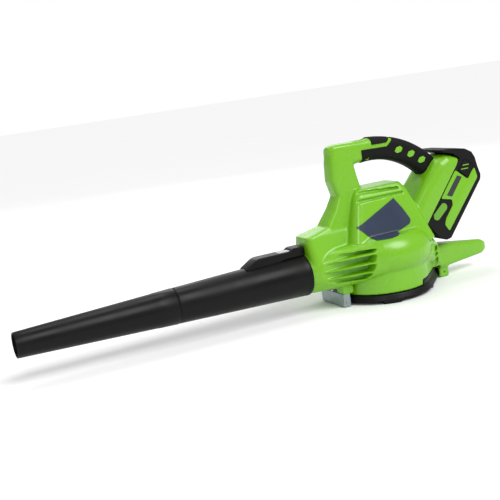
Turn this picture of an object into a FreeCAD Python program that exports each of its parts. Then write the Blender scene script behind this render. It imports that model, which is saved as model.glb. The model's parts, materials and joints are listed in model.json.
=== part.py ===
import FreeCAD, Part
import math
import os

# Battery leaf blower: a vertical fan in a moulded clamshell, a long tapered tube in front,
# a D handle on top, a slanted battery pack behind and a hinged intake guard underneath.
# Frame: the fan axis is Z, the ground plane is z = 0, the tube points along -X,
# and the operator's left side is -Y. Millimetres.

# General fits and walls
WALL = 2.8            # moulded shell wall
GAP = 0.4             # clearance between bodies that move
RUN = 0.05            # running clearance of a pin or shaft, on the radius
SEAT = 0.2            # assembly clearance of a piece in its seat

# Tube
TUBE_AXIS_Z = 71.0
TUBE_REAR_X = -166.0
TUBE_JOINT_X = -425.0
NOZZLE_X = -705.0
TUBE_REAR_R = 40.0
TUBE_JOINT_R = 32.0
NOZZLE_R = 21.8
TUBE_WALL = 2.2
SPIGOT_R = 36.6       # outlet spigot of the housing that the tube slides over
SPIGOT_LENGTH = 38.0
JOINT_SPIGOT_LENGTH = 30.0
JOINT_SEAM = 0.4      # gap between the two tube pieces' ends
SLEEVE_LIFT = 0.4     # the nozzle piece is slightly thicker over the joint
NOZZLE_LAND = 20.0    # straight round part of the mouth's bore
RIDGE_HALF_Y = 14.0
RIDGE_TOP_Z = 122.0
RIDGE_LENGTH = 121.0
BUTTON_LENGTH = 24.0
BUTTON_HALF_Y = 8.5

# Fan case
CASE_R = 103.0
CASE_BULGE = 22.0     # how far the barrel stands out past its flat top and bottom
CASE_HALF_Z = 36.5
CASE_AXIS_Z = 85.0
SKIRT_R = 92.0
SKIRT_BOTTOM_Z = 17.0
SKIRT_STEP_X = 38.0
SKIRT_STEP_Z = 27.0
TAIL_X = 104.0        # centre of the skirt's rounded tail
TAIL_R = 20.0

# Motor hump and handle
HUMP_LOW_Z = 96.0
HUMP_TOP_Z = 196.0
HUMP_LOW_HALF_Y = 66.0
HUMP_TOP_HALF_Y = 37.0
CAP_TOP_Z = 210.0
HANDLE_AXIS_X = -2.0
HANDLE_AXIS_Z = 96.0
HANDLE_R = 183.0
HANDLE_DEPTH = 40.0
HANDLE_WIDTH = 34.0
HANDLE_CORNER = 12.0
HANDLE_FRONT_DEG = -13.0
HANDLE_REAR_DEG = 46.0
GRIP_SKIN = 1.5
HEX_FLATS = 11.5

# Battery and its seat; u runs up the battery, w stands off its face towards the handle
BATTERY_X = 92.0
BATTERY_Z = 119.0
BATTERY_TILT = 51.5
CELL_R = 9.1
CELL_LENGTH = 65.0
CELL_PITCH = 20.5
CELL_END_ROOM = 7.0   # from a cell's end to the outside of the battery
BATTERY_HALF_Y = CELL_LENGTH / 2 + CELL_END_ROOM
COWL_HALF_Y = BATTERY_HALF_Y + 3.5
COWL_LENGTH = 144.0
COWL_DEPTH = 44.0
COWL_ROUND = 20.0     # rounding of the cowl towards the handle
RECESS_DEPTH = 12.0
RECESS_HALF_Y = 32.0
RECESS_LOW_U = 4.0
SHOE_WALL = 2.0
LIP_DEPTH = 2.5
LIP_WIDTH = 6.0
BLADE_YS = (-16.0, -5.5, 5.5, 16.0)
CELL_ROWS_W = (-16.0, -35.5)
PLATE_DEPTH = 1.2     # depth of the battery's side pockets
LATCH_LOW_U = 124.0
LATCH_HIGH_U = 150.0
LATCH_LOW_W = -36.0
LATCH_HIGH_W = -11.0
LATCH_TRAVEL = 3.0
LATCH_DEPTH = 6.0

# Fan and motor
IMPELLER_R = 78.0
IMPELLER_LOW_Z = 53.0
IMPELLER_TOP_Z = 99.0
BLADES = 11
NUT_R = 6.5
NUT_HEIGHT = 5.0
SHAFT_R = 4.0
BEARING_R = 11.0
BEARING_LENGTH = 7.0
PLATE_R = 87.0
PLATE_Z = 104.0
PLATE_THICK = 3.0
COOLING_HOLE_CIRCLE = 48.0
CAN_R = 33.0
CAN_TOP_Z = 176.0
STATOR_BORE_R = 21.0
STATOR_LENGTH = 36.0
INLET_R = 56.0
INLET_Z = 44.0

# Intake guard and its hinge
GUARD_R = 99.0
GUARD_TOP_R = 94.0
GUARD_FLOOR_Z = 6.0
GUARD_FLOOR = 3.0
GUARD_SPIGOT_R = 86.8
GUARD_SPIGOT_TOP_Z = 26.0
HINGE_X = -104.0
HINGE_Z = 9.0
PIN_R = 2.0
KNUCKLE_R = 5.2
BRACKET_HALF_Y = 41.0
BRACKET_STEEL = 2.0
BRACKET_TOP_Z = 25.0
EAR_REACH = 7.0       # from the pin back to the ears' rear edge
BRACKET_SCREW_Y = 28.0
BRACKET_SCREW_R = 2.0
LUG_X = 130.0
LUG_LENGTH = 22.0
LUG_HALF_Y = 13.0
LUG_SLOT_HALF_Y = 7.0
SLOT_WIDTH = 7.0
SLOT_PITCH = 12.0
FOOT_DEGREES = (30, 112, 248, 330)
SWITCH_X = 110.0
PLUNGER_R = 2.0

# Speed dial
DIAL_X = -18.0
DIAL_Z = 284.5
DIAL_R = 13.0
DIAL_HALF_Y = 5.0
DIAL_AXLE_R = 2.5
SADDLE_R = 24.0       # radius of the thumb hollow above the dial

# Housing screws: x, z, and the y of the seat under the head
SCREW_R = 1.7
SCREW_HEAD_R = 3.2
SCREW_SEATS = [
    (-132.0, 131.0, 12.0),
    (-70.0, 247.0, 9.0),
    (-71.0, 281.0, 9.0),
    (69.0, 265.0, 9.0),
    (80.0, 124.0, 34.0),
    (142.0, 229.0, 32.0),
    (104.0, 66.0, 36.0),
    (192.0, 41.0, 7.0),
]
SCREW_BITE = 12.0     # how far a screw reaches into the left shell

V = FreeCAD.Vector
X_AXIS = V(1, 0, 0)
Y_AXIS = V(0, 1, 0)
Z_AXIS = V(0, 0, 1)
FAR = 400.0           # larger than the object is wide


def export(shape, node):
    """Write one node as a STEP file and say what it holds."""
    solids = shape.Solids
    whole = solids[0] if len(solids) == 1 else Part.makeCompound(solids)
    whole.exportStep("parts/" + node + ".step")
    print(node, len(solids), round(whole.Volume), whole.isValid())


def fuse(shapes):
    """One solid from overlapping ones."""
    return shapes[0].multiFuse(shapes[1:]).removeSplitter()


def box(x0, x1, y0, y1, z0, z1):
    return Part.makeBox(x1 - x0, y1 - y0, z1 - z0, V(x0, y0, z0))


def cylinder_y(x, z, r, y0, y1):
    return Part.makeCylinder(r, y1 - y0, V(x, y0, z), Y_AXIS)


def cylinder_z(x, y, r, z0, z1):
    return Part.makeCylinder(r, z1 - z0, V(x, y, z0), Z_AXIS)


def plate_xz(points, half_y):
    """Prism of an outline in the XZ plane, centred on y = 0."""
    corners = [V(x, -half_y, z) for x, z in points]
    wire = Part.makePolygon(corners + corners[:1])
    return Part.Face(wire).extrude(V(0, 2 * half_y, 0))


def rounded_section(centre_a, centre_b, half_a, half_b, radius, place):
    """Rounded rectangle of lines and arcs; place turns its two coordinates into a point."""
    corners = [(1, -1, -90), (1, 1, 0), (-1, 1, 90), (-1, -1, 180)]
    arcs = []
    for side_a, side_b, first in corners:
        a = centre_a + side_a * (half_a - radius)
        b = centre_b + side_b * (half_b - radius)
        arc = []
        for turn in (0, 45, 90):
            angle = math.radians(first + turn)
            arc.append(place(a + radius * math.cos(angle), b + radius * math.sin(angle)))
        arcs.append(arc)
    edges = []
    for i, arc in enumerate(arcs):
        edges.append(Part.Arc(*arc).toShape())
        edges.append(Part.LineSegment(arc[2], arcs[(i + 1) % 4][0]).toShape())
    return Part.Wire(edges)


def section_x(x, half_y, half_z, centre_z, radius):
    """Rounded rectangle across X."""
    return rounded_section(0, centre_z, half_y, half_z, radius, lambda a, b: V(x, a, b))


def section_z(z, x0, x1, half_y, radius):
    """Rounded rectangle in a level plane."""
    return rounded_section((x0 + x1) / 2, 0, (x1 - x0) / 2, half_y, radius, lambda a, b: V(a, b, z))


def egg_wire(r, tail_r, z):
    """Round outline about the fan axis with tangents to a small rounded tail behind."""
    lean = math.acos((r - tail_r) / TAIL_X)
    c = math.cos(lean)
    s = math.sin(lean)
    up = V(r * c, r * s, z)
    down = V(r * c, -r * s, z)
    tail_up = V(TAIL_X + tail_r * c, tail_r * s, z)
    tail_down = V(TAIL_X + tail_r * c, -tail_r * s, z)
    edges = [
        Part.Arc(up, V(-r, 0, z), down).toShape(),
        Part.LineSegment(down, tail_down).toShape(),
        Part.Arc(tail_down, V(TAIL_X + tail_r, 0, z), tail_up).toShape(),
        Part.LineSegment(tail_up, up).toShape(),
    ]
    return Part.Wire(edges)


def egg(r, tail_r, z0, z1):
    return Part.Face(egg_wire(r, tail_r, z0)).extrude(V(0, 0, z1 - z0))


def slant(shape):
    """Turn a shape made along u, y, w into place on the battery's slanted seat."""
    placed = shape.copy()
    tilt = FreeCAD.Rotation(Y_AXIS, -BATTERY_TILT)
    placed.Placement = FreeCAD.Placement(V(BATTERY_X, 0, BATTERY_Z), tilt)
    return placed


def tube_path(points, radius):
    """Round wire of straight runs and tangent arcs through chosen points."""
    edges = []
    start = points[0]
    for i in range(1, len(points) - 1):
        before = points[i - 1] - points[i]
        after = points[i + 1] - points[i]
        half = before.getAngle(after) / 2
        reach = 0.45 * min(before.Length, after.Length)
        bend = reach * math.tan(half)
        a = points[i] + before.normalize() * reach
        b = points[i] + after.normalize() * reach
        inward = (before + after).normalize()
        centre = points[i] + inward * (bend / math.sin(half))
        middle = centre - inward * bend
        edges.append(Part.LineSegment(start, a).toShape())
        edges.append(Part.Arc(a, middle, b).toShape())
        start = b
    edges.append(Part.LineSegment(start, points[-1]).toShape())
    path = Part.Wire(edges)
    direction = points[1] - points[0]
    profile = Part.Wire([Part.makeCircle(radius, points[0], direction)])
    return path.makePipeShell([profile], True, False)


# ---- Housing shell ----

def fan_case(inset):
    """Round barrel about the fan axis."""
    low = CASE_AXIS_Z - CASE_HALF_Z + inset
    high = CASE_AXIS_Z + CASE_HALF_Z - inset
    edge = CASE_R - CASE_BULGE
    side = Part.Arc(V(edge, 0, low), V(CASE_R - inset, 0, CASE_AXIS_Z), V(edge, 0, high)).toShape()
    top = Part.LineSegment(V(edge, 0, high), V(0, 0, high)).toShape()
    middle = Part.LineSegment(V(0, 0, high), V(0, 0, low)).toShape()
    bottom = Part.LineSegment(V(0, 0, low), V(edge, 0, low)).toShape()
    profile = Part.Face(Part.Wire([side, top, middle, bottom]))
    return profile.revolve(V(0, 0, 0), Z_AXIS, 360)


def outlet_neck(inset):
    """Cheeks that narrow from the barrel to the outlet."""
    front = TUBE_REAR_X + 2
    sections = [
        section_x(front, SPIGOT_R + 0.4 - inset, SPIGOT_R + 0.4 - inset, TUBE_AXIS_Z, 33 - inset),
        section_x(-116, 62 - inset, 37 - inset, TUBE_AXIS_Z + 4, 31 - inset),
        section_x(-40, 93 - inset, 35 - inset, CASE_AXIS_Z - 1, 27 - inset),
    ]
    return Part.makeLoft(sections, True, True)


def rear_body(inset):
    """Back of the body, narrowing to the tail."""
    sections = [
        section_x(40, 84 - inset, 34 - inset, CASE_AXIS_Z - 2, 24 - inset),
        section_x(84, 60 - inset, 32 - inset, CASE_AXIS_Z - 8, 20 - inset),
        section_x(124 - inset, 26 - inset, 25 - inset, 52, 14 - inset),
    ]
    return Part.makeLoft(sections, True, True)


def spigot():
    """Plain round outlet that the tube is pushed over."""
    return cylinder_x(TUBE_REAR_X - SPIGOT_LENGTH, TUBE_REAR_X + 12, SPIGOT_R)


def skirt(inset):
    """Upright wall under the barrel; its void is open at the bottom."""
    low = SKIRT_BOTTOM_Z - (GUARD_R if inset else 0)
    return egg(SKIRT_R - inset, TAIL_R - inset, low, CASE_AXIS_Z - 15 - inset)


def fin(inset):
    """Flat tail that narrows to a rounded tip."""
    wires = [
        section_x(102, 24 - inset, 28 - inset, 45.5, 9 - inset),
        section_x(244, 8 - inset, 14.5 - inset, 40, 6 - inset),
    ]
    if not inset:
        wires.append(section_x(255, 4, 8, 40, 3))
    return Part.makeLoft(wires, True, True)


def hump(inset):
    """Flat-sided motor cover with a lower cap on top."""
    low = section_z(HUMP_LOW_Z + inset, -92 + inset, 98 - inset, HUMP_LOW_HALF_Y - inset, 20 - inset)
    top = section_z(HUMP_TOP_Z, -58 + inset, 60 - inset, HUMP_TOP_HALF_Y - inset, 14 - inset)
    cap = section_z(CAP_TOP_Z - inset, -50 + inset, 50 - inset, HUMP_TOP_HALF_Y - 10 - inset, 10 - inset)
    return Part.makeLoft([low, top, cap], True, True)


def shoulder(inset):
    """Block over the outlet that rises into the handle post."""
    front = TUBE_REAR_X + 2 + inset
    low = section_z(TUBE_AXIS_Z + 20 + inset, front, 20, 42 - inset, 16 - inset)
    middle = section_z(140 - inset, front, 20, 27 - inset, 12 - inset)
    top = section_z(151 - inset, -120 + inset, 20, 22 - inset, 12 - inset)
    return Part.makeLoft([low, middle, top], True, True)


def post(inset):
    """Front post of the handle, waisted above the shoulder."""
    sections = [
        (138.0, -126.0, 10.0, 25.0),
        (158.0, -113.0, -8.0, 23.0),
        (180.0, -96.5, -20.0, 21.0),
        (203.0, -84.5, -27.0, 18.5),
        (232.0, -93.0, -34.0, 18.0),
        (263.0, -91.5, -40.0, 17.2),
        (290.0 - inset, -87.5, -38.0, 16.0),
    ]
    wires = []
    for z, x0, x1, half_y in sections:
        wires.append(section_z(z, x0 + inset, x1 - inset, half_y - inset, 11 - inset))
    return Part.makeLoft(wires, True, True)


def handle_front(inset):
    """Level nose of the handle, where the dial sits."""
    sections = [
        (-88.5 + inset, 11.0, 13.0, 281.0),
        (-80.0, 16.2, 18.3, 279.7),
        (-45.0, 16.8, 19.2, 278.6),
        (-6.0, 16.8, 19.2, 277.4),
    ]
    wires = []
    for x, half_y, half_z, middle_z in sections:
        wires.append(section_x(x, half_y - inset, half_z - inset, middle_z, 9 - inset))
    return Part.makeLoft(wires, True, True)


def handle_arc(inset, front_deg, rear_deg):
    """Curved bar of the handle: a rounded section turned about the handle's centre."""
    half_r = HANDLE_DEPTH / 2 - inset
    half_y = HANDLE_WIDTH / 2 - inset
    flat = section_z(0, -half_r, half_r, half_y, HANDLE_CORNER - inset)
    section = Part.Face(flat)
    section.rotate(V(0, 0, 0), Y_AXIS, -90)
    section.translate(V(HANDLE_AXIS_X, 0, HANDLE_AXIS_Z + HANDLE_R))
    centre = V(HANDLE_AXIS_X, 0, HANDLE_AXIS_Z)
    section.rotate(centre, Y_AXIS, front_deg)
    return section.revolve(centre, Y_AXIS, rear_deg - front_deg)


def cowl(inset):
    """Slanted block that carries the battery; u along it, w off the battery's face."""
    outline = [
        (-46.0 + inset, inset),
        (COWL_LENGTH - inset, inset),
        (COWL_LENGTH - inset, 14.0),
        (136.0 - inset, COWL_DEPTH - 14.0 - inset / 2),
        (116.0, COWL_DEPTH - 4.0 - inset),
        (60.0, COWL_DEPTH - inset),
        (-46.0 + inset, COWL_DEPTH - inset),
    ]
    block = plate_xz(outline, COWL_HALF_Y - inset)
    long_edges = []
    for edge in block.Edges:
        middle = edge.CenterOfMass
        if abs(abs(middle.y) - (COWL_HALF_Y - inset)) < 0.01 and middle.z > 15 and middle.x > -40:
            long_edges.append(edge)
    return slant(block.makeFillet(COWL_ROUND - inset, long_edges))


def hinge_pad():
    """Solid pad under the outlet that the steel bracket is screwed to."""
    rear = -SKIRT_R + WALL
    pad = box(HINGE_X - 8, rear, -44, 44, BRACKET_TOP_Z, 39)
    slot = box(HINGE_X - 10, HINGE_X + 6, -18, 18, BRACKET_TOP_Z - 1, 35)
    return pad.cut(slot)


def lug():
    """Rear clevis that takes the guard's tab and its lock screw."""
    block = box(LUG_X, LUG_X + LUG_LENGTH, -LUG_HALF_Y, LUG_HALF_Y, 0, 32)
    slot = box(LUG_X - 1, LUG_X + LUG_LENGTH + 1, -LUG_SLOT_HALF_Y, LUG_SLOT_HALF_Y, -1, 19)
    hole = cylinder_y(lug_hole_x(), HINGE_Z, 2.6, -LUG_HALF_Y - 1, LUG_HALF_Y + 1)
    return block.cut(slot).cut(hole)


def lug_hole_x():
    return LUG_X + LUG_LENGTH / 2


def outer_shape():
    parts = [
        fan_case(0),
        outlet_neck(0),
        rear_body(0),
        spigot(),
        skirt(0).cut(step_cut()),
        fin(0).cut(fin_cut(0)),
        hump(0),
        shoulder(0),
        post(0),
        handle_front(0),
        handle_arc(0, HANDLE_FRONT_DEG, HANDLE_REAR_DEG),
        cowl(0),
    ]
    return fuse(parts)


def step_cut():
    """The skirt's lower edge steps up towards the tail."""
    return box(SKIRT_STEP_X, FAR, -FAR, FAR, 0, SKIRT_STEP_Z)


def fin_cut(inset):
    """Room for the guard's rear band under the root of the fin."""
    return box(SKIRT_STEP_X, LUG_X - 1.5 + inset, -FAR, FAR, 0, SKIRT_STEP_Z + inset)


def inner_void():
    duct = cylinder_x(TUBE_REAR_X - SPIGOT_LENGTH - 10, TUBE_REAR_X + 6, SPIGOT_R - WALL)
    parts = [
        fan_case(WALL),
        outlet_neck(WALL),
        rear_body(WALL),
        duct,
        skirt(WALL),
        fin(WALL).cut(fin_cut(WALL)),
        hump(WALL),
        shoulder(WALL),
        post(WALL),
        handle_front(WALL),
        handle_arc(WALL, HANDLE_FRONT_DEG, HANDLE_REAR_DEG - 0.5),
        cowl(WALL),
    ]
    return fuse(parts).cut(saddle(WALL))


def saddle(grow):
    """Thumb hollow across the handle above the dial."""
    centre_z = DIAL_Z + DIAL_R - 1.5 + SADDLE_R
    return cylinder_y(DIAL_X, centre_z, SADDLE_R + grow, -FAR, FAR)


def recess(grow):
    """Room for the battery's rail shoe, open at the top of the cowl."""
    return slant(box(
        RECESS_LOW_U - grow, COWL_LENGTH + 30,
        -RECESS_HALF_Y - grow, RECESS_HALF_Y + grow,
        -30, RECESS_DEPTH + grow))


def inner_seats(outer):
    """Ledges that carry the motor plate and the inlet ring, and the walls of the battery recess."""
    plate_top = PLATE_Z + PLATE_THICK
    motor_ledge = cylinder_z(0, 0, CASE_R + 20, plate_top, plate_top + 3)
    motor_ledge = motor_ledge.cut(cylinder_z(0, 0, PLATE_R - 5, plate_top - 1, plate_top + 4))
    ledge_room = box(-105, 100, -FAR, FAR, plate_top - 1, plate_top + 4)
    inlet_top = INLET_Z + PLATE_THICK
    inlet_ledge = egg(SKIRT_R - 1, TAIL_R - 1, inlet_top, inlet_top + 2.5)
    inlet_ledge = inlet_ledge.cut(cylinder_z(0, 0, IMPELLER_R + 3, inlet_top - 1, inlet_top + 4))
    recess_walls = recess(WALL)
    seats = [
        motor_ledge.common(ledge_room).common(outer),
        inlet_ledge.common(outer),
        recess_walls.common(outer),
    ]
    return seats


def boss(x, z, seat):
    return cylinder_y(x, z, SCREW_HEAD_R + 2, -seat - 6, FAR)


def screw_cuts(x, z, seat):
    shank = cylinder_y(x, z, SCREW_R + RUN, -SCREW_BITE - 2, seat + 1)
    head = cylinder_y(x, z, SCREW_HEAD_R + SEAT, seat, FAR)
    return shank.fuse(head)


def hex_dot(x, z, y0, y1):
    """Hexagonal island of the shell that shows through the grip."""
    corner = HEX_FLATS / math.sqrt(3)
    points = []
    for i in range(6):
        angle = math.radians(60 * i + 14)
        points.append(V(x + corner * math.cos(angle), y0, z + corner * math.sin(angle)))
    wire = Part.makePolygon(points + points[:1])
    return Part.Face(wire).extrude(V(0, y1 - y0, 0))


def hex_centres():
    centres = []
    for degrees in (19.5, 28.8, 37.5):
        a = math.radians(degrees)
        centres.append((HANDLE_AXIS_X + HANDLE_R * math.sin(a), HANDLE_AXIS_Z + HANDLE_R * math.cos(a)))
    return centres


def housing():
    outer = outer_shape()
    shell = outer.cut(inner_void())
    solids = [shell, hinge_pad(), lug()] + inner_seats(outer)
    for x, z, seat in SCREW_SEATS:
        solids.append(boss(x, z, seat).common(outer))
    for x, z in hex_centres():
        half = HANDLE_WIDTH / 2
        solids.append(hex_dot(x, z, -half - GRIP_SKIN, -half + WALL))
        solids.append(hex_dot(x, z, half - WALL, half + GRIP_SKIN))
    whole = fuse(solids)
    cuts = [
        recess(0),
        box(DIAL_X - DIAL_R - 1, DIAL_X + DIAL_R + 1, -DIAL_HALF_Y - 1, DIAL_HALF_Y + 1, 285, 310),
        saddle(0),
        slant(box(20, 60, -10, 10, RECESS_DEPTH - 1, RECESS_DEPTH + WALL + 1)),
    ]
    for x, z, seat in SCREW_SEATS:
        cuts.append(screw_cuts(x, z, seat))
    for y in (-BRACKET_SCREW_Y, BRACKET_SCREW_Y):
        cuts.append(cylinder_z(HINGE_X + 2, y, BRACKET_SCREW_R + RUN, BRACKET_TOP_Z - 1, 36))
    cuts.append(battery_room())
    return whole.cut(cuts)


def battery_room():
    """Space of the battery and the clearance round it, kept free of the housing."""
    corners = [V(u, -BATTERY_HALF_Y - GAP, w) for u, w in battery_outline()]
    outline = Part.makePolygon(corners + corners[:1]).makeOffset2D(GAP)
    return slant(Part.Face(outline).extrude(V(0, 2 * (BATTERY_HALF_Y + GAP), 0)))


def largest(shape):
    return max(shape.Solids, key=lambda solid: solid.Volume)


def housing_halves():
    whole = housing()
    left = whole.common(box(-FAR, FAR, -FAR, 0, -FAR, FAR))
    right = whole.common(box(-FAR, FAR, 0, FAR, -FAR, FAR))
    export(largest(left), "housing_left")
    export(largest(right), "housing_right")


def housing_screws():
    screws = []
    for x, z, seat in SCREW_SEATS:
        shank = cylinder_y(x, z, SCREW_R, -SCREW_BITE, seat)
        head = cylinder_y(x, z, SCREW_HEAD_R, seat, seat + 2.4)
        cross = box(x - 2.2, x + 2.2, seat + 1.2, seat + 3, z - 0.5, z + 0.5)
        other = box(x - 0.5, x + 0.5, seat + 1.2, seat + 3, z - 2.2, z + 2.2)
        screws.append(shank.fuse(head).cut([cross, other]))
    export(Part.makeCompound(screws), "housing_screws")


# ---- Grip pieces, badges ----

def handle_skin():
    """Rubber-thick layer over the handle's bar."""
    thick = handle_arc(-GRIP_SKIN, HANDLE_FRONT_DEG + 4, HANDLE_REAR_DEG)
    core = handle_arc(0, HANDLE_FRONT_DEG, HANDLE_REAR_DEG + 2)
    return thick.cut(core).cut(cowl(0)).cut(handle_front(0)).cut(post(0))


def grips():
    skin = handle_skin()
    grip_side = plate_xz([
        (-21, 240), (-23, 280), (34, 278.5), (50, 291),
        (56, 310), (190, 310), (190, 200), (80, 200)], FAR)
    inlay_side = plate_xz([(1, 287), (33.5, 286.5), (41, 292), (47, 310), (1, 310)], FAR)
    grip = skin.common(grip_side)
    for x, z in hex_centres():
        grip = grip.cut(hex_dot(x, z, -FAR / 4, FAR / 4))
    half_seam = 0.1
    left = grip.common(box(-FAR, FAR, -FAR, -half_seam, 0, FAR))
    right = grip.common(box(-FAR, FAR, half_seam, FAR, 0, FAR))
    export(largest(left), "grip_left")
    export(largest(right), "grip_right")
    export(largest(skin.common(inlay_side)), "grip_inlay")


def badges():
    """Thin five-sided plates on the motor hump's flat sides."""
    rise = HUMP_TOP_Z - HUMP_LOW_Z
    lean = HUMP_LOW_HALF_Y - HUMP_TOP_HALF_Y
    outline = [
        (-69, 145), (-47, 123), (-8, 123), (24, 129),
        (43, 138), (21, 181), (14, 180), (-30, 164)]
    thick = 1.0
    for side, node in ((-1, "badge_left"), (1, "badge_right")):
        top_y = side * (HUMP_LOW_HALF_Y - lean)
        corners = [
            V(-200, side * HUMP_LOW_HALF_Y, HUMP_LOW_Z),
            V(200, side * HUMP_LOW_HALF_Y, HUMP_LOW_Z),
            V(200, top_y, HUMP_LOW_Z + rise),
            V(-200, top_y, HUMP_LOW_Z + rise),
        ]
        slab = Part.Face(Part.makePolygon(corners + corners[:1])).extrude(V(0, side * thick, 0))
        badge = slab.common(plate_xz(outline, FAR))
        export(badge, node)


# ---- Motor and fan ----

def motor_plate():
    disc = cylinder_z(0, 0, PLATE_R, PLATE_Z, PLATE_Z + PLATE_THICK)
    hub = cylinder_z(0, 0, BEARING_R + 4, PLATE_Z, PLATE_Z + BEARING_LENGTH + 2)
    seat = cylinder_z(0, 0, BEARING_R, PLATE_Z + 2, PLATE_Z + 20)
    through = cylinder_z(0, 0, SHAFT_R + 3, PLATE_Z - 1, PLATE_Z + 5)
    plate = disc.fuse(hub).cut(seat).cut(through)
    holes = []
    for i in range(12):
        angle = 2 * math.pi * i / 12
        x = COOLING_HOLE_CIRCLE * math.cos(angle)
        y = COOLING_HOLE_CIRCLE * math.sin(angle)
        holes.append(cylinder_z(x, y, 5, PLATE_Z - 1, PLATE_Z + 10))
    export(plate.cut(holes), "motor_plate")


def bearing(z0):
    ring = cylinder_z(0, 0, BEARING_R, z0, z0 + BEARING_LENGTH)
    return ring.cut(cylinder_z(0, 0, SHAFT_R + RUN, z0 - 1, z0 + BEARING_LENGTH + 1))


def motor():
    base = PLATE_Z + PLATE_THICK
    can = cylinder_z(0, 0, CAN_R, base, CAN_TOP_Z)
    can = can.cut(cylinder_z(0, 0, CAN_R - 2, base - 1, CAN_TOP_Z - 2))
    pocket = cylinder_z(0, 0, BEARING_R + 3, CAN_TOP_Z - 2, CAN_TOP_Z + BEARING_LENGTH + 2)
    can = can.fuse(pocket)
    can = can.cut(cylinder_z(0, 0, BEARING_R, CAN_TOP_Z - 3, CAN_TOP_Z + BEARING_LENGTH))
    vents = []
    for i in range(8):
        angle = 45 * i
        vent = box(CAN_R - 4, CAN_R + 4, -5, 5, CAN_TOP_Z - 22, CAN_TOP_Z - 10)
        vent.rotate(V(0, 0, 0), Z_AXIS, angle)
        vents.append(vent)
    export(can.cut(vents), "motor_can")
    low = base + 14
    stack = cylinder_z(0, 0, CAN_R - 2, low, low + STATOR_LENGTH)
    stack = stack.cut(cylinder_z(0, 0, STATOR_BORE_R, low - 1, low + STATOR_LENGTH + 1))
    export(stack, "motor_stator")
    coils = []
    for z0 in (low - 8, low + STATOR_LENGTH):
        ring = Part.makeTorus((CAN_R - 2 + STATOR_BORE_R) / 2, 3.9, V(0, 0, z0 + 4))
        coils.append(ring)
    export(Part.makeCompound(coils), "motor_windings")
    export(bearing(PLATE_Z + 2), "lower_bearing")
    export(bearing(CAN_TOP_Z), "upper_bearing")


def shaft_and_rotor():
    low = IMPELLER_LOW_Z - NUT_HEIGHT
    shaft = cylinder_z(0, 0, SHAFT_R, low, CAN_TOP_Z + BEARING_LENGTH)
    export(shaft, "motor_shaft")
    base = PLATE_Z + PLATE_THICK + 14
    core = cylinder_z(0, 0, STATOR_BORE_R - 0.6, base, base + STATOR_LENGTH)
    core = core.cut(cylinder_z(0, 0, SHAFT_R, base - 1, base + STATOR_LENGTH + 1))
    export(core, "rotor_core")


def blade(index):
    """One backward-curved blade, an arc of sheet standing on the back plate."""
    inner_r = 30.0
    sheet = 1.8
    bend = 62.0
    start = V(inner_r, 0, 0)
    end = V((IMPELLER_R - 1) * math.cos(0.75), (IMPELLER_R - 1) * math.sin(0.75), 0)
    chord = end - start
    middle = start + chord * 0.5 + V(chord.y, -chord.x, 0).normalize() * (bend * 0.13)
    near = Part.Arc(start, middle, end).toShape()
    shift = V(-chord.y, chord.x, 0).normalize() * sheet
    far = Part.Arc(start + shift, middle + shift, end + shift).toShape()
    side_a = Part.LineSegment(start, start + shift).toShape()
    side_b = Part.LineSegment(end + shift, end).toShape()
    face = Part.Face(Part.Wire(Part.__sortEdges__([near, side_b, far, side_a])))
    solid = face.extrude(V(0, 0, IMPELLER_TOP_Z - IMPELLER_LOW_Z - 2))
    solid.translate(V(0, 0, IMPELLER_LOW_Z))
    solid.rotate(V(0, 0, 0), Z_AXIS, 360.0 * index / BLADES)
    return solid


def impeller():
    back = cylinder_z(0, 0, IMPELLER_R, IMPELLER_TOP_Z - 3, IMPELLER_TOP_Z)
    hub = Part.makeCone(11, 26, 36, V(0, 0, IMPELLER_TOP_Z - 39), Z_AXIS)
    neck = cylinder_z(0, 0, 11, IMPELLER_LOW_Z, IMPELLER_TOP_Z)
    blades = [blade(i) for i in range(BLADES)]
    keep = cylinder_z(0, 0, IMPELLER_R, 0, FAR)
    wheel = fuse([back, hub, neck] + blades).common(keep)
    wheel = wheel.cut(cylinder_z(0, 0, SHAFT_R, 0, FAR))
    export(wheel, "impeller")
    corners = []
    for i in range(7):
        angle = math.radians(60 * i)
        corners.append(V(NUT_R * math.cos(angle), NUT_R * math.sin(angle), IMPELLER_LOW_Z - NUT_HEIGHT))
    nut = Part.Face(Part.makePolygon(corners)).extrude(V(0, 0, NUT_HEIGHT))
    export(nut.cut(cylinder_z(0, 0, SHAFT_R, 0, FAR)), "impeller_nut")


def inlet_ring():
    """Bellmouth plate between the intake chamber and the fan."""
    plate = egg(SKIRT_R - WALL - SEAT, TAIL_R - WALL - SEAT, INLET_Z, INLET_Z + PLATE_THICK)
    lip = Part.makeTorus(INLET_R + 4, 4, V(0, 0, INLET_Z + 1))
    collar = cylinder_z(0, 0, INLET_R + 2.4, INLET_Z, INLET_Z + 6.5)
    ring = plate.fuse(lip.common(cylinder_z(0, 0, FAR, INLET_Z - 3, INLET_Z + 3))).fuse(collar)
    ring = ring.cut(cylinder_z(0, 0, INLET_R, 0, FAR))
    export(ring, "inlet_ring")


# ---- Guard, bracket, lock screw, interlock ----

def guard_band():
    floor_top = GUARD_FLOOR_Z + GUARD_FLOOR
    low = egg_wire(GUARD_R, TAIL_R + 5, GUARD_FLOOR_Z)
    high = egg_wire(GUARD_TOP_R, TAIL_R, SKIRT_BOTTOM_Z - GAP)
    outer = Part.makeLoft([low, high], True, True)
    return outer.cut(egg(GUARD_TOP_R - 5, TAIL_R - 5, floor_top, FAR))


def rear_band():
    """The band stands higher behind the step of the skirt."""
    wall = egg(GUARD_TOP_R - 2, TAIL_R, GUARD_FLOOR_Z, SKIRT_STEP_Z - GAP)
    wall = wall.cut(egg(GUARD_TOP_R - 6, TAIL_R - 4, 0, FAR))
    return wall.common(box(SKIRT_STEP_X + GAP + 0.6, FAR, -FAR, FAR, 0, FAR))


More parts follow.
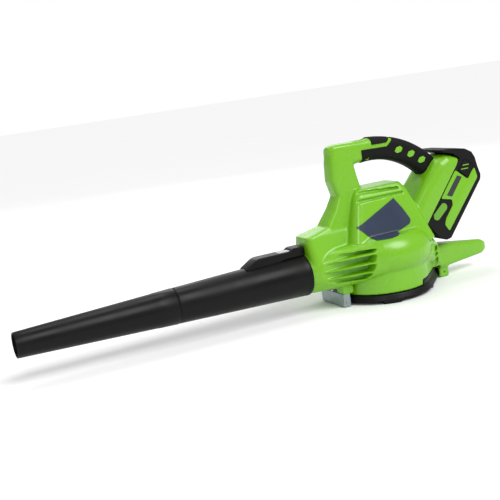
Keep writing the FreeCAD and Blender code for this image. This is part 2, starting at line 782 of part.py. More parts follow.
def guard_slots():
    """Finger-safe bars: long slots between cross ribs."""
    cuts = []
    rows = 6
    for row in range(-rows, rows + 1):
        y = row * SLOT_PITCH
        reach = math.sqrt(max((GUARD_SPIGOT_R - 8) ** 2 - y ** 2, 0))
        for x0, x1 in ((-reach, -30), (-25, 25), (30, reach)):
            if x1 - x0 > 8:
                y0 = y - SLOT_WIDTH / 2
                cuts.append(box(x0, x1, y0, y0 + SLOT_WIDTH, 0, GUARD_FLOOR_Z + GUARD_FLOOR + 1))
    return cuts


def foot(degrees):
    """Pad on the rim that the blower stands on."""
    outer = cylinder_z(0, 0, GUARD_R - 1, 0, GUARD_FLOOR_Z)
    ring = outer.cut(cylinder_z(0, 0, GUARD_R - 12, -1, FAR))
    wedge = box(0, FAR, -17, 17, -1, FAR)
    wedge.rotate(V(0, 0, 0), Z_AXIS, degrees)
    return ring.common(wedge)


def guard():
    spigot_wall = egg(GUARD_SPIGOT_R, TAIL_R - 5, GUARD_FLOOR_Z, GUARD_SPIGOT_TOP_Z)
    spigot_wall = spigot_wall.cut(egg(GUARD_SPIGOT_R - 2, TAIL_R - 7, GUARD_FLOOR_Z + GUARD_FLOOR, FAR))
    body = fuse([guard_band(), spigot_wall]).cut(guard_slots())
    hub = cylinder_z(0, 0, 17, 0, GUARD_FLOOR_Z + GUARD_FLOOR)
    web = box(HINGE_X, -88, -33, 33, HINGE_Z - 3, HINGE_Z + 3)
    barrel = cylinder_y(HINGE_X, HINGE_Z, KNUCKLE_R, -37.5, 37.5)
    tab_half = LUG_SLOT_HALF_Y - GAP
    tab = box(TAIL_X + 15, LUG_X + LUG_LENGTH - 2, -tab_half, tab_half, 3, 16)
    stem = cylinder_z(SWITCH_X, 0, 3, GUARD_FLOOR_Z, GUARD_SPIGOT_TOP_Z)
    feet = [foot(degrees) for degrees in FOOT_DEGREES]
    whole = fuse([body, hub, web, barrel, tab, stem, rear_band()] + feet)
    whole = whole.cut(cylinder_y(HINGE_X, HINGE_Z, PIN_R + RUN, -FAR, FAR))
    whole = whole.cut(cylinder_y(lug_hole_x(), HINGE_Z, 2.7, -FAR, FAR))
    export(largest(whole), "intake_guard")


def hinge_bracket():
    """Pressed steel channel: a front web, two ears and a top flange."""
    front = HINGE_X - KNUCKLE_R - GAP - BRACKET_STEEL
    rear = HINGE_X + EAR_REACH
    web = box(front, front + BRACKET_STEEL, -BRACKET_HALF_Y, BRACKET_HALF_Y, 1, BRACKET_TOP_Z)
    flange = box(front, rear, -BRACKET_HALF_Y, BRACKET_HALF_Y, BRACKET_TOP_Z - BRACKET_STEEL, BRACKET_TOP_Z)
    ears = []
    for y in (-BRACKET_HALF_Y, BRACKET_HALF_Y - BRACKET_STEEL):
        ears.append(box(front, rear, y, y + BRACKET_STEEL, 1, BRACKET_TOP_Z))
    shape = fuse([web, flange] + ears)
    shape = shape.cut(cylinder_y(HINGE_X, HINGE_Z, PIN_R + RUN, -FAR, FAR))
    window = box(HINGE_X - 5, HINGE_X + 20, -17, 17, BRACKET_TOP_Z - 5, BRACKET_TOP_Z + 1)
    shape = shape.cut(window)
    for y in (-BRACKET_SCREW_Y, BRACKET_SCREW_Y):
        shape = shape.cut(cylinder_z(HINGE_X + 2, y, BRACKET_SCREW_R + RUN, 0, FAR))
    export(shape, "hinge_bracket")
    pin = cylinder_y(HINGE_X, HINGE_Z, PIN_R, -BRACKET_HALF_Y - 0.8, BRACKET_HALF_Y + 0.8)
    heads = [
        cylinder_y(HINGE_X, HINGE_Z, PIN_R + 1, -BRACKET_HALF_Y - 1.6, -BRACKET_HALF_Y),
        cylinder_y(HINGE_X, HINGE_Z, PIN_R + 1, BRACKET_HALF_Y, BRACKET_HALF_Y + 1.6),
    ]
    export(fuse([pin] + heads), "hinge_pin")
    screws = []
    for y in (-BRACKET_SCREW_Y, BRACKET_SCREW_Y):
        shank = cylinder_z(HINGE_X + 2, y, BRACKET_SCREW_R, BRACKET_TOP_Z - BRACKET_STEEL, 35)
        head = cylinder_z(HINGE_X + 2, y, 3.6, BRACKET_TOP_Z - 4.4, BRACKET_TOP_Z - BRACKET_STEEL)
        screws.append(shank.fuse(head))
    export(Part.makeCompound(screws), "bracket_screws")


def lock_screw():
    """Safety screw of the guard, drawn back into the near ear so that the guard can swing."""
    shank = cylinder_y(lug_hole_x(), HINGE_Z, 2.6 - RUN, -LUG_HALF_Y + 2, -LUG_SLOT_HALF_Y - GAP)
    socket = cylinder_y(lug_hole_x(), HINGE_Z, 1.4, -LUG_HALF_Y + 1, -LUG_HALF_Y + 4)
    export(shank.cut(socket), "guard_lock_screw")


def interlock():
    body = box(SWITCH_X - 5, SWITCH_X + 7, -7, 7, 31, INLET_Z)
    body = body.cut(cylinder_z(SWITCH_X, 0, PLUNGER_R + RUN, 30, 38))
    export(body, "interlock_switch")
    plunger = cylinder_z(SWITCH_X, 0, PLUNGER_R, GUARD_SPIGOT_TOP_Z + GAP, 35)
    export(plunger, "interlock_plunger")


# ---- Tube ----

def cone_x(x0, r0, x1, r1):
    return Part.makeCone(r1, r0, x0 - x1, V(x1, 0, TUBE_AXIS_Z), X_AXIS)


def cylinder_x(x0, x1, r):
    """Cylinder on the tube's axis."""
    return Part.makeCylinder(r, x1 - x0, V(x0, 0, TUBE_AXIS_Z), X_AXIS)


def tube_ridge():
    top = RIDGE_TOP_Z
    rear = TUBE_REAR_X
    front = rear - RIDGE_LENGTH
    outline = [
        (front, top - 20), (front, top - 16), (front + 21, top - 2), (front + 29, top),
        (rear - 30, top), (rear - 24, top + 4.5), (rear - 2, top + 4.5), (rear, top + 3), (rear, top - 20),
    ]
    return plate_xz(outline, RIDGE_HALF_Y)


def upper_tube():
    outer = cone_x(TUBE_REAR_X, TUBE_REAR_R, TUBE_JOINT_X, TUBE_JOINT_R)
    neck_r = TUBE_JOINT_R - TUBE_WALL - GAP
    neck_front = TUBE_JOINT_X - JOINT_SPIGOT_LENGTH
    neck = cylinder_x(neck_front, TUBE_JOINT_X + 1, neck_r)
    socket_r = SPIGOT_R + GAP
    socket_front = TUBE_REAR_X - SPIGOT_LENGTH - 1
    socket = cylinder_x(socket_front, TUBE_REAR_X + 1, socket_r)
    bore = cone_x(socket_front, socket_r - 0.5, TUBE_JOINT_X, neck_r - TUBE_WALL)
    neck_bore = cylinder_x(neck_front - 1, TUBE_JOINT_X + 1, neck_r - TUBE_WALL)
    shape = fuse([outer, neck, tube_ridge()])
    shape = shape.cut([socket, bore, neck_bore])
    middle = button_x()
    pocket = box(
        middle - BUTTON_LENGTH / 2 - GAP, middle + BUTTON_LENGTH / 2 + GAP,
        -BUTTON_HALF_Y - GAP, BUTTON_HALF_Y + GAP, button_floor(), FAR)
    export(shape.cut(pocket), "upper_tube")


def button_x():
    return TUBE_REAR_X - 37.5


def button_floor():
    return TUBE_AXIS_Z + TUBE_REAR_R + 0.4


def nozzle_tube():
    outer = cone_x(TUBE_JOINT_X - JOINT_SEAM, TUBE_JOINT_R, NOZZLE_X, NOZZLE_R)
    socket_front = TUBE_JOINT_X - JOINT_SPIGOT_LENGTH - 1
    mouth_r = NOZZLE_R - TUBE_WALL
    land_end = NOZZLE_X + NOZZLE_LAND
    bore = cone_x(socket_front, TUBE_JOINT_R - TUBE_WALL - 1.4, land_end, mouth_r)
    land = cylinder_x(NOZZLE_X - 1, land_end + 0.1, mouth_r)
    socket = cylinder_x(socket_front, TUBE_JOINT_X + 1, TUBE_JOINT_R - TUBE_WALL)
    slope = (TUBE_JOINT_R - NOZZLE_R) / (TUBE_JOINT_X - NOZZLE_X)
    sleeve_rear = TUBE_JOINT_X - JOINT_SEAM
    sleeve_front = sleeve_rear - JOINT_SPIGOT_LENGTH - 8
    sleeve_front_r = TUBE_JOINT_R + SLEEVE_LIFT - slope * (sleeve_rear - sleeve_front)
    sleeve = cone_x(sleeve_rear, TUBE_JOINT_R + SLEEVE_LIFT, sleeve_front, sleeve_front_r)
    export(fuse([outer, sleeve]).cut([bore, land, socket]), "nozzle_tube")


def tube_button():
    middle = button_x()
    low = button_floor() + 5.8
    button = box(
        middle - BUTTON_LENGTH / 2, middle + BUTTON_LENGTH / 2,
        -BUTTON_HALF_Y, BUTTON_HALF_Y, low, RIDGE_TOP_Z + 0.6)
    top_edges = [e for e in button.Edges if e.CenterOfMass.z > RIDGE_TOP_Z]
    export(button.makeFillet(0.8, top_edges), "tube_button")
    spring = cylinder_z(middle, 0, 5, button_floor(), low)
    export(spring.cut(cylinder_z(middle, 0, 4, 0, FAR)), "button_spring")


# ---- Speed dial ----

def speed_dial():
    disc = cylinder_y(DIAL_X, DIAL_Z, DIAL_R, -DIAL_HALF_Y, DIAL_HALF_Y)
    notches = []
    for i in range(24):
        angle = 2 * math.pi * i / 24
        x = DIAL_X + DIAL_R * math.cos(angle)
        z = DIAL_Z + DIAL_R * math.sin(angle)
        notches.append(cylinder_y(x, z, 0.8, -20, 20))
    axle = cylinder_y(DIAL_X, DIAL_Z, DIAL_AXLE_R, -12, 12)
    export(disc.cut(notches).fuse(axle), "speed_dial")


def speed_control():
    """Housing of the dial's switch: a foot, a tray and two cheeks that carry the axle."""
    half = HANDLE_WIDTH / 2 - WALL - 2 * SEAT
    low = 262.4
    tray_top = DIAL_Z - DIAL_R - GAP
    foot_block = box(DIAL_X - 14, DIAL_X + 14, -8, 8, low, tray_top)
    tray = box(DIAL_X - 14, DIAL_X + 14, -half, half, tray_top - 3, tray_top)
    cheeks = []
    for y0, y1 in ((-half, -9.0), (9.0, half)):
        cheeks.append(box(DIAL_X - 7, DIAL_X + 7, y0, y1, tray_top - 3, DIAL_Z + 5))
    shape = fuse([foot_block, tray] + cheeks)
    export(shape.cut(cylinder_y(DIAL_X, DIAL_Z, DIAL_AXLE_R + RUN, -13, 13)), "speed_control")


# ---- Battery seat and electronics ----

def rail_shoe():
    half = RECESS_HALF_Y - SEAT
    depth = RECESS_DEPTH - SEAT
    floor = box(RECESS_LOW_U + SEAT, 138, -half, half, depth - SHOE_WALL, depth)
    parts = [floor]
    for side in (-1, 1):
        y0, y1 = sorted((side * half, side * (half - SHOE_WALL)))
        parts.append(box(RECESS_LOW_U + SEAT, 138, y0, y1, 1, depth))
        y0, y1 = sorted((side * half, side * (half - SHOE_WALL - LIP_WIDTH)))
        parts.append(box(26, 138, y0, y1, 1, 1 + LIP_DEPTH))
    shape = fuse(parts).cut(box(20, 60, -10, 10, depth - SHOE_WALL - 1, depth + 1))
    export(slant(shape), "battery_shoe")


def terminals():
    block = box(RECESS_LOW_U + 0.6, 14, -22, 22, 2, RECESS_DEPTH - SEAT - SHOE_WALL)
    export(slant(block), "terminal_block")
    blades = [box(14, 26, y - 0.4, y + 0.4, 3.5, 8.5) for y in BLADE_YS]
    export(slant(Part.makeCompound(blades)), "terminal_blades")


def controller():
    low_w = RECESS_DEPTH + WALL + SEAT
    case = box(20, 82, -27, 27, low_w, low_w + 16)
    case = case.makeFillet(2, case.Edges)
    export(slant(case), "controller")
    fins = [box(26, 76, y - 1, y + 1, low_w + 18, low_w + 22) for y in range(-20, 21, 8)]
    base = box(24, 78, -22, 22, low_w + 16, low_w + 18.5)
    export(slant(fuse([base] + fins)), "heat_sink")


def local_point(u, y, w):
    angle = math.radians(BATTERY_TILT)
    x = BATTERY_X + u * math.cos(angle) - w * math.sin(angle)
    z = BATTERY_Z + u * math.sin(angle) + w * math.cos(angle)
    return V(x, y, z)


def wiring():
    leads = []
    for y in (-8, 0, 8):
        start = local_point(20, y, 22)
        turn = local_point(-2, y, 22)
        across = math.sqrt(CAN_R ** 2 - y ** 2) + 0.3
        leads.append(tube_path([start, turn, V(across, y, turn.z)], 1.3))
    export(Part.makeCompound(leads), "motor_leads")
    end = local_point(20, 18, 22)
    below = local_point(-1, 18, 22)
    y = 11.0
    route = [
        V(DIAL_X - 14, y, 266), V(-62, y, 263), V(-64, y, 226), V(-46, y, 199), V(4, y, 196),
        V(30, 14, 184), V(50, 16, 150), below, end,
    ]
    export(tube_path(route, 1.4), "dial_lead")


# ---- Battery ----

def battery_outline():
    return [
        (0, -GAP), (-9, -44), (-4, -60), (4, -67), (136, -68), (145, -63), (153, -50), (166, -33),
        (171, -20), (168, -3), (157, 18), (147, 33), (139, 43), (134.5, 41.5),
        (COWL_LENGTH + GAP + 1, 17), (COWL_LENGTH + GAP + 1, -GAP),
    ]


def battery_side_outline():
    return [
        (13, -55), (18, -38), (30, -34), (60, -34), (68, -27), (56, -3), (117, -3),
        (117, -37), (137, -37), (147, -40), (136, -58),
    ]


def battery_case():
    case = plate_xz(battery_outline(), BATTERY_HALF_Y)
    rims = [e for e in case.Edges if abs(abs(e.CenterOfMass.y) - BATTERY_HALF_Y) < 0.01]
    case = case.makeFillet(2.5, rims)
    head_half = RECESS_HALF_Y - SHOE_WALL - SEAT - GAP
    neck_half = head_half - LIP_WIDTH - GAP
    lip_top = 1 + LIP_DEPTH + GAP
    head_top = RECESS_DEPTH - SEAT - SHOE_WALL - GAP - 0.2
    neck = box(15, 145, -neck_half, neck_half, -2, head_top)
    head = box(15, 145, -head_half, head_half, lip_top, head_top)
    room = box(6, 130, -BATTERY_HALF_Y + 3, BATTERY_HALF_Y - 3, -63.5, -5)
    shape = fuse([case, neck, head])
    cuts = [room]
    for y in BLADE_YS:
        cuts.append(box(14, 30, y - 1, y + 1, 2.6, 9))
    side_pockets = plate_xz(battery_side_outline(), FAR)
    for side in (-1, 1):
        y0, y1 = sorted((side * (BATTERY_HALF_Y - PLATE_DEPTH), side * FAR))
        slab = box(-FAR, FAR, y0, y1, -FAR, FAR)
        cuts.append(side_pockets.common(slab))
        cuts.append(latch_room(side))
        cuts.append(window_shape(y0, y1))
    shape = shape.cut(cuts)
    split = box(-FAR, FAR, -FAR, FAR, -34, FAR)
    export(slant(largest(shape.common(split))), "battery_cover")
    export(slant(largest(shape.cut(split))), "battery_tray")
    for side, name in ((-1, "left"), (1, "right")):
        y0, y1 = sorted((side * (BATTERY_HALF_Y - PLATE_DEPTH), side * (BATTERY_HALF_Y + 0.3)))
        plate = plate_xz(battery_side_outline(), FAR).common(box(-FAR, FAR, y0, y1, -FAR, FAR))
        export(slant(plate), "battery_plate_" + name)
        export(slant(window_shape(y0, y1)), "battery_pad_" + name)


def window_shape(y0, y1):
    """Long rounded pad that shows in the side of the battery."""
    half = 8.0
    a = cylinder_y(24, -13, half, y0, y1)
    b = cylinder_y(46, -17.5, half, y0, y1)
    bridge = box(24, 46.5, y0, y1, -half, half)
    bridge.translate(V(0, 0, -13))
    bridge.rotate(V(24, 0, -13), Y_AXIS, math.degrees(math.atan2(4.5, 22)))
    return fuse([a, b, bridge])


def latch_room(side):
    """Pocket in the case for a squeeze button and its spring."""
    y0, y1 = sorted((side * (BATTERY_HALF_Y - LATCH_DEPTH - LATCH_TRAVEL - 4), side * FAR))
    return box(LATCH_LOW_U - GAP, LATCH_HIGH_U + GAP, y0, y1, LATCH_LOW_W - GAP, LATCH_HIGH_W + GAP)


def latches():
    for side, name in ((-1, "left"), (1, "right")):
        out = BATTERY_HALF_Y + 0.8
        y0, y1 = sorted((side * (BATTERY_HALF_Y - LATCH_DEPTH), side * out))
        button = box(LATCH_LOW_U, LATCH_HIGH_U, y0, y1, LATCH_LOW_W, LATCH_HIGH_W)
        face_edges = [e for e in button.Edges if abs(e.CenterOfMass.y - side * out) < 0.01]
        button = button.makeFillet(1.2, face_edges)
        grooves = []
        for w in (LATCH_LOW_W + 6, (LATCH_LOW_W + LATCH_HIGH_W) / 2, LATCH_HIGH_W - 6):
            g0, g1 = sorted((side * (out - 0.8), side * FAR))
            grooves.append(box(LATCH_LOW_U + 5, LATCH_HIGH_U - 5, g0, g1, w - 1, w + 1))
        inner = BATTERY_HALF_Y - LATCH_DEPTH
        s0, s1 = sorted((side * inner, side * (inner - LATCH_TRAVEL - 4)))
        middle_u = (LATCH_LOW_U + LATCH_HIGH_U) / 2
        middle_w = (LATCH_LOW_W + LATCH_HIGH_W) / 2
        export(slant(button.cut(grooves)), "latch_button_" + name)
        spring = cylinder_y(middle_u, middle_w, 5, s0, s1)
        spring = spring.cut(cylinder_y(middle_u, middle_w, 4, -FAR, FAR))
        export(slant(spring), "latch_spring_" + name)


def cells():
    centres = []
    for w in CELL_ROWS_W:
        for i in range(5):
            centres.append((20.0 + CELL_PITCH * i, w))
    half = CELL_LENGTH / 2
    pack = [cylinder_y(u, w, CELL_R, -half, half) for u, w in centres]
    export(slant(Part.makeCompound(pack)), "battery_cells")
    low_w = CELL_ROWS_W[1] - CELL_R - 1.5
    frame = []
    outer = half + 0.5
    for y0, y1 in ((-outer, 6 - outer), (outer - 6, outer)):
        plate = box(9, 114, y0, y1, low_w, -5.5)
        plate = plate.cut([cylinder_y(u, w, CELL_R + RUN, -FAR, FAR) for u, w in centres])
        frame.append(plate)
    bridge = box(9, 114, -outer, outer, low_w - 2, low_w)
    export(slant(fuse([bridge] + frame)), "cell_frame")
    board = box(12, 110, 3 - outer, outer - 3, low_w - 2 - 1.8, low_w - 2)
    parts = [board]
    for u, y in ((30, -12), (48, 10), (70, -8), (92, 14)):
        parts.append(box(u - 5, u + 5, y - 4, y + 4, low_w - 2 - 5, low_w - 2 - 1))
    export(slant(fuse(parts)), "battery_board")


def main():
    os.makedirs("parts", exist_ok=True)
    housing_halves()
    housing_screws()
    grips()
    badges()
    motor_plate()
    motor()
    shaft_and_rotor()
    impeller()
    inlet_ring()
    guard()
    hinge_bracket()
    lock_screw()
    interlock()
    upper_tube()
    nozzle_tube()
    tube_button()
    speed_dial()
    speed_control()
    rail_shoe()
    terminals()
    controller()
    wiring()
    battery_case()
    latches()
    cells()


main()
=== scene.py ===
import json
import math

import bpy
from mathutils import Matrix, Vector

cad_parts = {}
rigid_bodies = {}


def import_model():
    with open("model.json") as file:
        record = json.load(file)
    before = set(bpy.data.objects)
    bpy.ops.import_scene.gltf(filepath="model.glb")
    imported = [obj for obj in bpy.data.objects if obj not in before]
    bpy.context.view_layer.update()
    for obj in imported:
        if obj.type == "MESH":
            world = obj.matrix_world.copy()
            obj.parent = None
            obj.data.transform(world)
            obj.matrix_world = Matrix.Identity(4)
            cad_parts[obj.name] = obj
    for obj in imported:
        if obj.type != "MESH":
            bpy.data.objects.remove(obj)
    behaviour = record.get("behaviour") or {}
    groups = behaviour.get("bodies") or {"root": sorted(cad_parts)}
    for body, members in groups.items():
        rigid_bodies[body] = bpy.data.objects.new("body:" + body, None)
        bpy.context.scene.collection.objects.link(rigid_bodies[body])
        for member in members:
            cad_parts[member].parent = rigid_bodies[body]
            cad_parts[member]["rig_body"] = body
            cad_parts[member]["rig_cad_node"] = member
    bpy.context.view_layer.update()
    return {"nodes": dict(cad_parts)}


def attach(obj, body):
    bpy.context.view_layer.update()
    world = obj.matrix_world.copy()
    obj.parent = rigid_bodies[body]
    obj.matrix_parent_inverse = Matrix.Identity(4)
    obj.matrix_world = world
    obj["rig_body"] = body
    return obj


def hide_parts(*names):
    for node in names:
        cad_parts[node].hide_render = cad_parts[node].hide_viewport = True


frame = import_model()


# ---- Clamshell housing ----
# Two injection-moulded ABS halves, screwed together along the middle: fan case, outlet,
# motor hump, handle, battery cowl and tail fin in one form, with soft polished corners.

def only(piece):
    """Leave one piece selected and active, in object mode."""
    bpy.ops.object.select_all(action="DESELECT")
    piece.select_set(True)
    bpy.context.view_layer.objects.active = piece


def copy_nodes(nodes, name):
    """Start a finer piece from the merged shape of CAD nodes."""
    bpy.ops.object.select_all(action="DESELECT")
    for node in nodes:
        frame["nodes"][node].select_set(True)
    bpy.context.view_layer.objects.active = frame["nodes"][nodes[0]]
    bpy.ops.object.duplicate()
    for piece in bpy.context.selected_objects:
        piece.parent = None
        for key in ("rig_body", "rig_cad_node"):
            del piece[key]
        piece.data.materials.clear()
    if len(nodes) > 1:
        bpy.ops.object.join()
    piece = bpy.context.active_object
    piece.name = name
    bpy.ops.object.mode_set(mode="EDIT")
    bpy.ops.mesh.select_all(action="SELECT")
    bpy.ops.mesh.remove_doubles(threshold=0.000005)
    bpy.ops.object.mode_set(mode="OBJECT")
    return piece


def apply(piece, kind, **settings):
    """Add one modifier with its settings and apply it."""
    only(piece)
    modifier = piece.modifiers.new(kind.title(), kind)
    for key, value in settings.items():
        setattr(modifier, key, value)
    bpy.ops.object.modifier_apply(modifier=modifier.name)


def settle(piece):
    """Put the piece's place into its mesh."""
    only(piece)
    bpy.ops.object.transform_apply(location=True, rotation=True, scale=True)


def block(x0, x1, y0, y1, z0, z1):
    """A cube at its size and place, in millimetres."""
    bpy.ops.object.select_all(action="DESELECT")
    spans = ((x0, x1), (y0, y1), (z0, z1))
    bpy.ops.mesh.primitive_cube_add(size=1, location=[(a + b) / 2000 for a, b in spans])
    piece = bpy.context.active_object
    piece.scale = [(b - a) / 1000 for a, b in spans]
    settle(piece)
    return piece


def round_bar(start, end, radius, corners=64):
    """A cylinder between two points, in millimetres."""
    bpy.ops.object.select_all(action="DESELECT")
    a = Vector(start) / 1000
    b = Vector(end) / 1000
    turn = (b - a).to_track_quat("Z", "Y").to_euler()
    bpy.ops.mesh.primitive_cylinder_add(
        vertices=corners, radius=radius / 1000, depth=(b - a).length,
        location=(a + b) / 2, rotation=turn)
    piece = bpy.context.active_object
    settle(piece)
    return piece


def row_point(x, y, z):
    """Millimetres in the row frame, as a point in metres."""
    return Vector((x, y, z)) / 1000


def prism(outline, low_y, high_y, place=row_point, corner=0.0):
    """A filled circle whose corners are set on an outline and drawn out across the object."""
    bpy.ops.object.select_all(action="DESELECT")
    bpy.ops.mesh.primitive_circle_add(vertices=len(outline), radius=1, fill_type="NGON")
    piece = bpy.context.active_object
    for vertex, (a, b) in zip(piece.data.vertices, outline):
        vertex.co = place(a, low_y, b)
    bpy.ops.object.mode_set(mode="EDIT")
    bpy.ops.mesh.select_all(action="SELECT")
    if corner:
        bpy.ops.mesh.bevel(offset=corner / 1000, segments=6, affect="VERTICES")
        bpy.ops.mesh.select_all(action="SELECT")
    bpy.ops.mesh.extrude_region_move(
        TRANSFORM_OT_translate={"value": (0, (high_y - low_y) / 1000, 0)})
    bpy.ops.mesh.select_all(action="SELECT")
    bpy.ops.mesh.normals_make_consistent(inside=False)
    bpy.ops.object.mode_set(mode="OBJECT")
    return piece


def joined(pieces):
    """Join pieces into the first one."""
    bpy.ops.object.select_all(action="DESELECT")
    for piece in pieces:
        piece.select_set(True)
    bpy.context.view_layer.objects.active = pieces[0]
    if len(pieces) > 1:
        bpy.ops.object.join()
    return bpy.context.active_object


def skin(piece, voxel, rounds):
    """Remesh a closed form, keep only its outside and soften its corners."""
    apply(piece, "REMESH", mode="VOXEL", voxel_size=voxel / 1000)
    bpy.ops.object.mode_set(mode="EDIT")
    bpy.ops.mesh.separate(type="LOOSE")
    bpy.ops.object.mode_set(mode="OBJECT")
    parts = list(bpy.context.selected_objects)
    outside = max(parts, key=lambda part: part.dimensions.length)
    for part in parts:
        if part != outside:
            bpy.data.objects.remove(part)
    apply(outside, "SMOOTH", factor=0.5, iterations=rounds)
    return outside


def cut(piece, cutters):
    """Cut away closed cutters that don't touch each other, with one boolean."""
    tool = joined(cutters)
    apply(piece, "BOOLEAN", object=tool, operation="DIFFERENCE", solver="MANIFOLD")
    bpy.data.objects.remove(tool)


def smooth(piece, degrees=35):
    """Shade smooth, but keep edges sharper than this."""
    only(piece)
    bpy.ops.object.shade_smooth_by_angle(angle=math.radians(degrees))


def half_of(piece, name, side, gap):
    """Copy the part of a solid on one side of the middle plane, closed along the cut."""
    only(piece)
    bpy.ops.object.duplicate()
    half = bpy.context.active_object
    half.name = name
    bpy.ops.object.mode_set(mode="EDIT")
    bpy.ops.mesh.select_all(action="SELECT")
    bpy.ops.mesh.bisect(
        plane_co=(0, side * gap / 1000, 0), plane_no=(0, side, 0),
        use_fill=True, clear_inner=True, threshold=0.00001)
    bpy.ops.object.mode_set(mode="OBJECT")
    return half


SEAT_TILT = math.radians(51.5)
SEAT_FOOT = (92, 119)


def seat_point(u, y, w):
    """A point on the battery's slanted seat: u up along it, w off it towards the handle."""
    c = math.cos(SEAT_TILT)
    s = math.sin(SEAT_TILT)
    return row_point(SEAT_FOOT[0] + u * c - w * s, y, SEAT_FOOT[1] + u * s + w * c)


def seat_block(u0, u1, y0, y1, w0, w1):
    """A block set along the battery's seat."""
    return prism([(u0, w0), (u1, w0), (u1, w1), (u0, w1)], y0, y1, seat_point)


def egg_block(radius, tail_radius, z0, z1):
    """The fan chamber's plan: a round with tangents to a small tail behind."""
    ends = joined([
        round_bar((0, 0, z0), (0, 0, z1), radius, 96),
        round_bar((104, 0, z0), (104, 0, z1), tail_radius, 48),
    ])
    bpy.ops.object.mode_set(mode="EDIT")
    bpy.ops.mesh.select_all(action="SELECT")
    bpy.ops.mesh.convex_hull()
    bpy.ops.object.mode_set(mode="OBJECT")
    return ends


shell = copy_nodes(["housing_left", "housing_right"], "shell")
stoppers = [
    round_bar((-204, 0, 71), (-201, 0, 71), 35),
    egg_block(90.5, 18.5, 28, 31),
    block(-34, -2, -8, 8, 291, 298),
    seat_block(18, 62, -12, 12, 12.4, 14.6),
]
shell = skin(joined([shell] + stoppers), 1.5, 4)

LOUVRE_RIBS = [(-150, 91, -56, 98), (-150, 75, -58, 81), (-150, 61, -62, 64)]
LOUVRE_TOP = (-146, 104, -52, 108)
LOUVRE_BOTTOM = (-146, 52, -72, 50)
cutters = []
for side in (-1, 1):
    lines = [LOUVRE_TOP] + LOUVRE_RIBS + [LOUVRE_BOTTOM]
    for upper, lower in zip(lines, lines[1:]):
        pocket = prism([
            (upper[0], upper[1] - 1.3), (lower[0], lower[1] + 1.3),
            (lower[2] - 3, lower[3] + 1.5), (upper[2], upper[3] - 1.5)], 0, 40)
        for vertex in pocket.data.vertices:
            along = (vertex.co.x + 0.150) / 0.1
            floor = 0.044 + 0.016 * along
            outer = 0.120 if vertex.co.y > 0.02 else floor
            vertex.co.y = side * outer
        only(pocket)
        bpy.ops.object.mode_set(mode="EDIT")
        bpy.ops.mesh.select_all(action="SELECT")
        bpy.ops.mesh.normals_make_consistent(inside=False)
        bpy.ops.object.mode_set(mode="OBJECT")
        cutters.append(pocket)
    for outline, floor in (
            ([(-54, 207.5), (-52, 201.5), (43, 198), (38, 202)], 27),
            ([(-72, 192.5), (-70, 185.5), (46, 189), (45, 193)], 34)):
        y0, y1 = sorted((side * floor, side * 80))
        cutters.append(prism(outline, y0, y1))
    # The upper pocket is on the left only: a screw sits there on the right.
    for z0, z1 in ((31, 50), (53, 60), (63, 73))[:2 if side > 0 else 3]:
        y0, y1 = sorted((side * 27, side * 70))
        cutters.append(block(97, 114, y0, y1, z0, z1))
cut(shell, cutters)
apply(shell, "REMESH", mode="VOXEL", voxel_size=0.0014)
apply(shell, "SMOOTH", factor=0.5, iterations=4)

chambers = [
    egg_block(89.2, 17.2, 10, 47.1),
    round_bar((0, 0, 47), (0, 0, 101), 81, 96),
    round_bar((-210, 0, 71), (-81, 0, 71), 33.8, 96),
    block(-32, -4, -6, 6, 262, 312),
]
for chamber in chambers:
    cut(shell, [chamber])
# The rubber grips lie in beds of their own shape.
for node in ("grip_left", "grip_right", "grip_inlay"):
    bed = copy_nodes([node], node + "_bed")
    apply(bed, "REMESH", mode="VOXEL", voxel_size=0.0009)
    apply(bed, "DISPLACE", strength=0.0002, mid_level=0.0)
    cut(shell, [bed])

STUD_ANGLES = (19.5, 28.8, 37.5)
STUD_CORNERS = [(-8.2, -1.7), (-4.4, 4.2), (3.8, 5.6), (8.2, 1.7), (4.4, -4.2), (-3.8, -5.6)]


def stud(degrees, y0, y1, grow):
    """Long six-sided stud at an angle round the handle's arc, or the window for it."""
    a = math.radians(degrees)
    x = -2 + 183 * math.sin(a)
    z = 96 + 183 * math.cos(a)
    return prism([(x + u * grow, z + w * grow) for u, w in STUD_CORNERS], min(y0, y1), max(y0, y1))


for side in (-1, 1):
    for degrees in STUD_ANGLES:
        button = stud(degrees, side * 10, side * 18.7, 1.17)
        apply(button, "BEVEL", width=0.0007, segments=3)
        shell = joined([shell, button])

halves = []
for side, name, node in ((-1, "shell_left", "housing_left"), (1, "shell_right", "housing_right")):
    half = half_of(shell, name, side, 0.2)
    smooth(half)
    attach(half, "housing")
    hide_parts(node)
    halves.append(half)
bpy.data.objects.remove(shell)


def linear(code):
    """An sRGB hex colour as linear red, green, blue and alpha."""
    values = [int(code[i:i + 2], 16) / 255 for i in (1, 3, 5)]
    return [v / 12.92 if v <= 0.04045 else ((v + 0.055) / 1.055) ** 2.4 for v in values] + [1.0]


def add_node(material, kind, inputs, **settings):
    """Add a node; each input is a value, or the socket that feeds it."""
    node = material.node_tree.nodes.new(kind)
    for key, value in settings.items():
        setattr(node, key, value)
    for key, value in inputs.items():
        if isinstance(value, bpy.types.NodeSocket):
            material.node_tree.links.new(value, node.inputs[key])
        else:
            node.inputs[key].default_value = value
    return node


def new_material(name):
    material = bpy.data.materials.new(name)
    material.use_nodes = True
    material.node_tree.nodes.clear()
    return material


